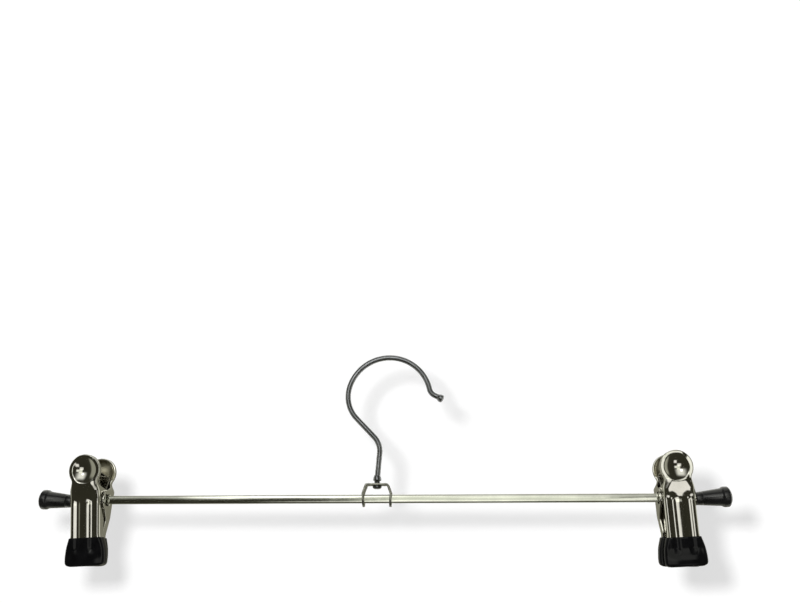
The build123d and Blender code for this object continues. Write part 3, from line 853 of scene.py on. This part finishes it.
def make_clip(side, prefix):
    """Everything on one clip."""
    for out, place, half, end in ((-1, "front", FRONT_HALF, FRONT_END), (1, "rear", REAR_HALF, REAR_END)):
        body = prefix + place
        inward = (-end[0], end[1]) if out < 0 else end
        make_jaw(side, out, half, f"{prefix}{place}_jaw_shell", body)
        make_grip(side, out, f"{prefix}{place}_grip_boot", body)
        make_spring_half(side, out, inward, f"{prefix}spring_{place}", prefix)


# Stage, light and camera


def make_plane(name, points, material):
    """Flat stage piece."""
    plane = make_object(name, points, [(0, 1, 2, 3)], material)
    return plane


def stage_material(name, level, even_up):
    """Pale paint that keeps shadows and is lifted for the camera, evened out where a lamp falls off."""
    material, node, link = new_material(name)
    out = node("ShaderNodeOutputMaterial")
    paint = node("ShaderNodeBsdfDiffuse")
    paint.inputs["Color"].default_value = PAINT
    path = node("ShaderNodeLightPath")
    lift = node("ShaderNodeMath", operation="MULTIPLY")
    lift.inputs[1].default_value = level
    link(path.outputs["Is Camera Ray"], lift.inputs[0])
    if even_up:
        place = node("ShaderNodeTexCoord")
        away = node("ShaderNodeVectorMath", operation="DISTANCE")
        away.inputs[1].default_value = Vector(LAMP_PLACE) * MM
        link(place.outputs["Object"], away.inputs[0])
        ratio = node("ShaderNodeMath", operation="DIVIDE")
        ratio.inputs[0].default_value = (WALL_Y - LAMP_PLACE[1]) * MM
        link(away.outputs["Value"], ratio.inputs[1])
        cubed = node("ShaderNodeMath", operation="POWER")
        cubed.inputs[1].default_value = 3.0
        link(ratio.outputs["Value"], cubed.inputs[0])
        fall = node("ShaderNodeMath", operation="MULTIPLY_ADD")
        fall.inputs[1].default_value = -LAMP_LEVEL
        fall.inputs[2].default_value = level + LAMP_LEVEL
        link(cubed.outputs["Value"], fall.inputs[0])
        link(fall.outputs["Value"], lift.inputs[1])
    glow = node("ShaderNodeEmission")
    total = node("ShaderNodeAddShader")
    side = node("ShaderNodeNewGeometry")
    clear = node("ShaderNodeBsdfTransparent")
    front = node("ShaderNodeMixShader")
    link(lift.outputs["Value"], glow.inputs["Strength"])
    link(paint.outputs["BSDF"], total.inputs[0])
    link(glow.outputs["Emission"], total.inputs[1])
    link(side.outputs["Backfacing"], front.inputs["Fac"])
    link(total.outputs["Shader"], front.inputs[1])
    link(clear.outputs["BSDF"], front.inputs[2])
    link(front.outputs["Shader"], out.inputs["Surface"])
    return material


CAMERA_PLACE = (43.3, -472.0, -106.6)
CAMERA_YAW, CAMERA_PITCH = -0.065, 0.293
CAMERA_LENS = 38.0

# The wall stands clear of the hanger's whole turn. The small lamp, left of the camera and above it, throws
# the shadows on the wall. The lifts are what the paint adds to its own light for the camera
WALL_Y, FLOOR_Z = 200.0, -190.0
LAMP_LEFT, LAMP_ABOVE = 41.0, 37.0
LAMP_PLACE = (CAMERA_PLACE[0] - LAMP_LEFT, CAMERA_PLACE[1], CAMERA_PLACE[2] + LAMP_ABOVE)
LAMP_R, LAMP_LEVEL = 16.0, 0.5
LAMP_POWER = 7.4
OVERHEAD_POWER, OVERHEAD_SPREAD, OVERHEAD_WAY = 1.3, 12, (0.12, 0.3, -1.0)
SOFT_LIGHT = 0.62
PAINT = (0.9, 0.9, 0.9, 1)
FLOOR_LIFT, WALL_LIFT = 0.05, -0.02
STAGE_REACH, WALL_TOP = 1500, 1300


def make_stage():
    """Pale floor below and pale wall behind, both seen from their front side only."""
    left, right = -STAGE_REACH, STAGE_REACH
    foot = [(left, WALL_Y, FLOOR_Z), (right, WALL_Y, FLOOR_Z)]
    front = [(left, -STAGE_REACH, FLOOR_Z), (right, -STAGE_REACH, FLOOR_Z)]
    top = [(right, WALL_Y, WALL_TOP), (left, WALL_Y, WALL_TOP)]
    floor = make_plane("floor", front + foot[::-1], stage_material("floor_paint", FLOOR_LIFT, False))
    wall = make_plane("wall", foot + top, stage_material("wall_paint", WALL_LIFT, True))
    for piece in (floor, wall):
        piece.visible_diffuse = False
        piece.visible_glossy = False
        piece.visible_transmission = False
        piece.visible_shadow = False


# What the metal mirrors: a dim room, darker in front than behind, with bright places. Each bright place has
# its middle, in degrees round from the front towards +X and up. Then come half its width and half its
# height, each where it is full and where it has faded out, and its colour
ROOM = [
    (0.0, (0.028, 0.027, 0.018)),
    (0.5, (0.04, 0.039, 0.028)),
    (0.7, (0.15, 0.147, 0.12)),
    (1.0, (0.24, 0.235, 0.185)),
]
PANELS = [
    ((-6, 26), (8, 34), (8, 24), (0.95, 0.95, 0.9)),
    ((-11, 16), (2, 8), (2, 8), (2.5, 2.5, 2.4)),
    ((-2, -12), (6, 12), (4, 9), (0.95, 0.94, 0.9)),
    ((2, 2), (5, 11), (8, 12), (0.85, 0.87, 0.77)),
    ((16, -1), (4, 8), (3, 7), (1.05, 1.05, 0.98)),
    ((19, -27), (5, 10), (4, 8), (0.95, 0.93, 0.9)),
    ((-80, -8), (15, 27), (25, 42), (0.3, 0.3, 0.25)),
    ((80, -5), (15, 24), (25, 42), (0.33, 0.33, 0.28)),
    ((-125, 0), (12, 24), (45, 65), (0.85, 0.85, 0.8)),
    ((125, 0), (12, 24), (45, 65), (0.85, 0.85, 0.8)),
    ((180, 45), (35, 50), (15, 24), (0.85, 0.85, 0.8)),
    ((180, -50), (35, 60), (14, 24), (0.35, 0.35, 0.3)),
    ((0, 90), (180, 181), (16, 30), (0.5, 0.5, 0.46)),
]


def panel_glow(node, link, angle, middle, inner, outer, wraps):
    """1 near a panel's middle along one angle, fading to 0."""
    off = node("ShaderNodeMath", operation="SUBTRACT")
    off.inputs[1].default_value = middle
    link(angle, off.inputs[0])
    last = off.outputs["Value"]
    if wraps:
        wrap = node("ShaderNodeMath", operation="WRAP")
        wrap.inputs[1].default_value = 180.0
        wrap.inputs[2].default_value = -180.0
        link(last, wrap.inputs[0])
        last = wrap.outputs["Value"]
    size = node("ShaderNodeMath", operation="ABSOLUTE")
    link(last, size.inputs[0])
    glow = node("ShaderNodeMapRange", interpolation_type="SMOOTHSTEP")
    glow.inputs["From Min"].default_value = outer
    glow.inputs["From Max"].default_value = inner
    link(size.outputs["Value"], glow.inputs["Value"])
    return glow.outputs["Result"]


def mirrored_studio(node, link):
    """Colour of what the metal mirrors in each direction."""
    place = node("ShaderNodeTexCoord")
    axes = node("ShaderNodeSeparateXYZ")
    link(place.outputs["Generated"], axes.inputs["Vector"])
    back = node("ShaderNodeMath", operation="MULTIPLY")
    back.inputs[1].default_value = -1.0
    link(axes.outputs["Y"], back.inputs[0])
    turn = node("ShaderNodeMath", operation="ARCTAN2")
    link(axes.outputs["X"], turn.inputs[0])
    link(back.outputs["Value"], turn.inputs[1])
    rise = node("ShaderNodeMath", operation="ARCSINE")
    link(axes.outputs["Z"], rise.inputs[0])
    angles = []
    for angle in (turn, rise):
        scaled = node("ShaderNodeMath", operation="DEGREES")
        link(angle.outputs["Value"], scaled.inputs[0])
        angles.append(scaled.outputs["Value"])
    depth = node("ShaderNodeMapRange")
    depth.inputs["From Min"].default_value = -1.0
    link(axes.outputs["Y"], depth.inputs["Value"])
    room = ramp(node, ROOM)
    link(depth.outputs["Result"], room.inputs["Fac"])
    total = room.outputs["Color"]
    for (round_to, up_to), wide, high, colour in PANELS:
        across = panel_glow(node, link, angles[0], round_to, *wide, True)
        along = panel_glow(node, link, angles[1], up_to, *high, False)
        both = node("ShaderNodeMath", operation="MULTIPLY")
        link(across, both.inputs[0])
        link(along, both.inputs[1])
        tinted = node("ShaderNodeVectorMath", operation="SCALE")
        tinted.inputs[0].default_value = colour
        link(both.outputs["Value"], tinted.inputs["Scale"])
        added = node("ShaderNodeVectorMath", operation="ADD")
        link(total, added.inputs[0])
        link(tinted.outputs["Vector"], added.inputs[1])
        total = added.outputs["Vector"]
    return total


def make_world():
    """White for the camera, even soft light on paint, and a dim studio with panels for reflections."""
    world = bpy.data.worlds.new("studio")
    bpy.context.scene.world = world
    world.use_nodes = True
    world.cycles.sampling_method = "NONE"
    tree = world.node_tree
    tree.nodes.clear()
    node, link = node_maker(tree), tree.links.new
    out = node("ShaderNodeOutputWorld")
    path = node("ShaderNodeLightPath")
    mirror = node("ShaderNodeBackground", Strength=1.0)
    link(mirrored_studio(node, link), mirror.inputs["Color"])
    even = node("ShaderNodeBackground", Strength=SOFT_LIGHT)
    even.inputs["Color"].default_value = (1, 1, 1, 1)
    white = node("ShaderNodeBackground", Strength=1.0)
    white.inputs["Color"].default_value = (1, 1, 1, 1)
    shiny = node("ShaderNodeMixShader")
    seen = node("ShaderNodeMixShader")
    link(path.outputs["Is Glossy Ray"], shiny.inputs["Fac"])
    link(even.outputs["Background"], shiny.inputs[1])
    link(mirror.outputs["Background"], shiny.inputs[2])
    link(path.outputs["Is Camera Ray"], seen.inputs["Fac"])
    link(shiny.outputs["Shader"], seen.inputs[1])
    link(white.outputs["Background"], seen.inputs[2])
    link(seen.outputs["Shader"], out.inputs["Surface"])


def make_lamp(kind, name, strength):
    """Lamp of a kind and strength, which the metal doesn't mirror."""
    data = bpy.data.lights.new(name, kind)
    data.energy = strength
    lamp = bpy.data.objects.new(name, data)
    bpy.context.scene.collection.objects.link(lamp)
    lamp.visible_glossy = False
    return lamp


def make_lamps():
    """A small lamp beside the camera, and a broad distant one overhead for the floor's shadow."""
    key = make_lamp("POINT", "key", LAMP_POWER)
    key.data.shadow_soft_size = LAMP_R * MM
    key.location = Vector(LAMP_PLACE) * MM
    overhead = make_lamp("SUN", "overhead", OVERHEAD_POWER)
    overhead.data.angle = radians(OVERHEAD_SPREAD)
    overhead.rotation_euler = Vector(OVERHEAD_WAY).to_track_quat("-Z", "Y").to_euler()


def make_camera():
    """Camera at the photograph's viewing angle."""
    data = bpy.data.cameras.new("camera")
    data.lens = CAMERA_LENS
    data.sensor_width = 36.0
    data.sensor_fit = "HORIZONTAL"
    data.clip_start = 0.01
    camera = bpy.data.objects.new("camera", data)
    bpy.context.scene.collection.objects.link(camera)
    camera.location = Vector(CAMERA_PLACE) * MM
    ahead = Vector(
        (
            sin(CAMERA_YAW) * cos(CAMERA_PITCH),
            cos(CAMERA_YAW) * cos(CAMERA_PITCH),
            sin(CAMERA_PITCH),
        )
    )
    camera.rotation_euler = ahead.to_track_quat("-Z", "Y").to_euler()
    bpy.context.scene.camera = camera


make_hook()
make_bar()
make_bracket()
make_end_cap(-1, "end_cap_left_rubber", "end_cap_left")
make_end_cap(1, "end_cap_right_rubber", "end_cap_right")
make_clip(-1, "left_")
make_clip(1, "right_")
make_stage()
make_world()
make_lamps()
make_camera()
bpy.context.scene.view_settings.view_transform = "Standard"
